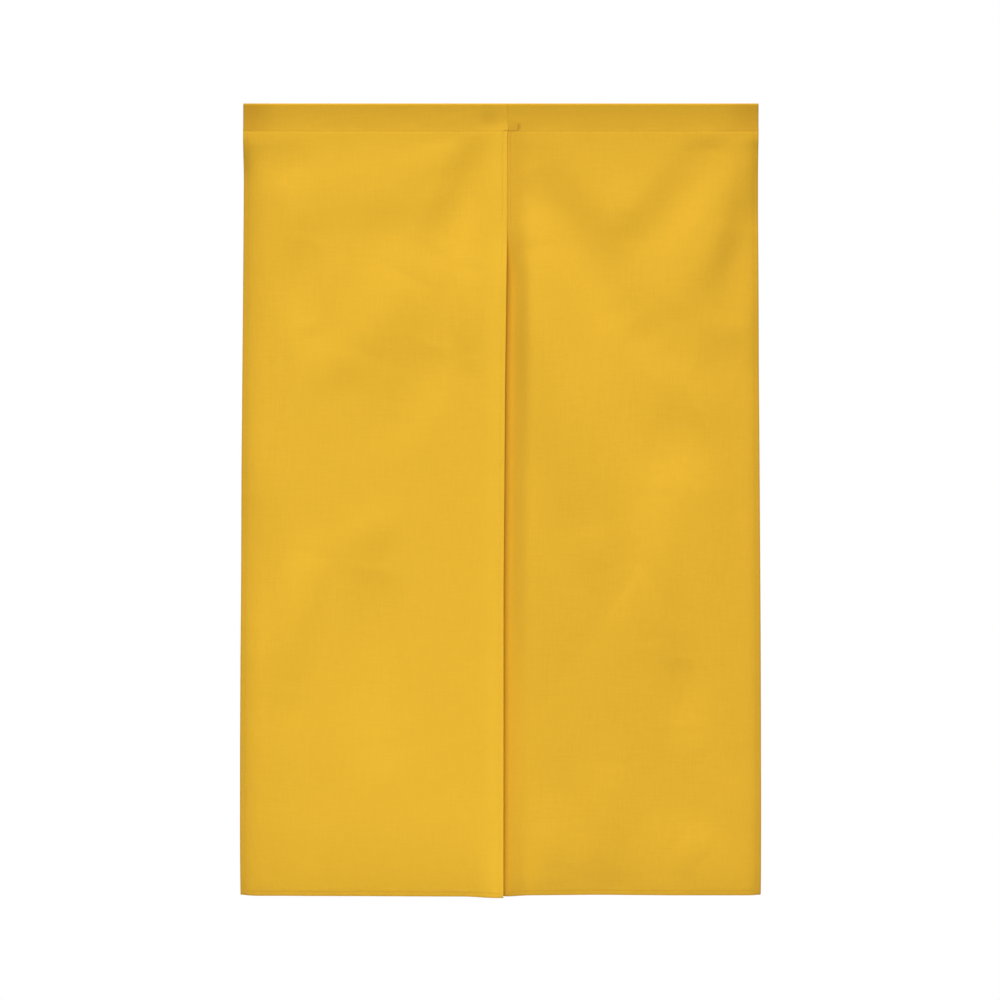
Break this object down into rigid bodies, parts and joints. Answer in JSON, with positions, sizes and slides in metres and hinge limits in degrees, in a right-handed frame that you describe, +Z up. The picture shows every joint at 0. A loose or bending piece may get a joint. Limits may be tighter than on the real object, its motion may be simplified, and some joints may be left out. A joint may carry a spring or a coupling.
{
  "type": "noren curtain",
  "caption": "Slit doorway curtain of plain woven cloth: hemmed panels lapped and sewn near the top, open slit below, rod pocket heading.",
  "frame": {"origin": "middle of the curtain's top edge, on the centre line of the rod pocket", "axes": "+Z up, the front of the cloth faces -Y, +X to the right seen from the front"},
  "size_m": [0.86, 0.0577, 1.3025],
  "materials": {
    "cloth": "plain weave, golden yellow, matt"
  },
  "bodies": {
    "root": {"panel_left": "cloth", "panel_right": "cloth", "pocket_left": "cloth", "pocket_right": "cloth"}
  },
  "joints": []
}
